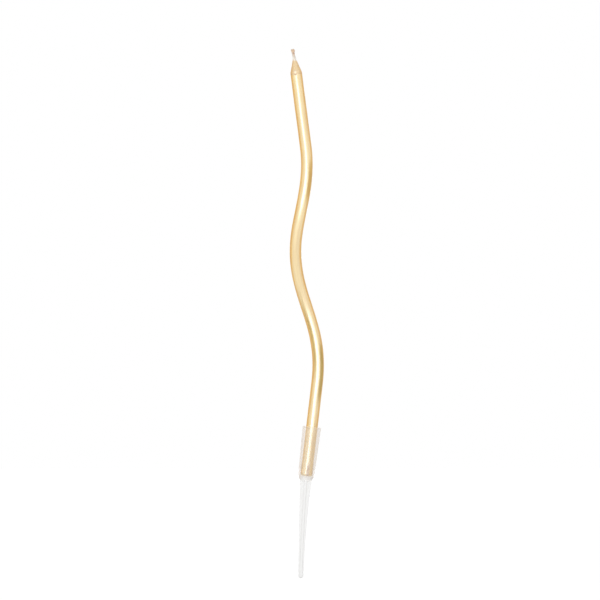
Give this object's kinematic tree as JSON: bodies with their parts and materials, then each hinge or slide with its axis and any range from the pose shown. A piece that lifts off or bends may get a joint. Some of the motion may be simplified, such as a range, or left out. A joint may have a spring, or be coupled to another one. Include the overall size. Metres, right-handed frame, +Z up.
{
  "type": "spiral birthday candle",
  "caption": "Thin gold candle wound in a loose upright spiral, with a cone tip and cotton wick, standing in a translucent plastic cup with a spike that pushes into a cake.",
  "frame": {"origin": "on the cup's axis where the spike leaves the cup's shoulder, level with the top of the icing", "axes": "+Z up with the wick's tip over the spike's point, +X to the right in the picture, +Y away from the viewer; the cup's own axis leans 6.73 degrees towards +X and 2.86 degrees towards +Y"},
  "size_m": [0.0142, 0.0183, 0.2202],
  "materials": {
    "cotton": "twisted waxed cotton, tan at the cut end",
    "wax": null,
    "gold_overdip": "pearl-gold wax overdip with a soft metallic sheen",
    "clear_plastic": "translucent moulded polypropylene, faintly frosted"
  },
  "bodies": {
    "holder": {"candle_holder": "clear_plastic"},
    "candle": {"wax_core": "wax", "gold_coat": "gold_overdip", "wick": "cotton"}
  },
  "joints": [
    {"name": "candle_pull", "type": "slide", "parent": "holder", "child": "candle", "axis": [0.117, 0.0496, 0.9919], "range_m": [0, 0.025]}
  ]
}
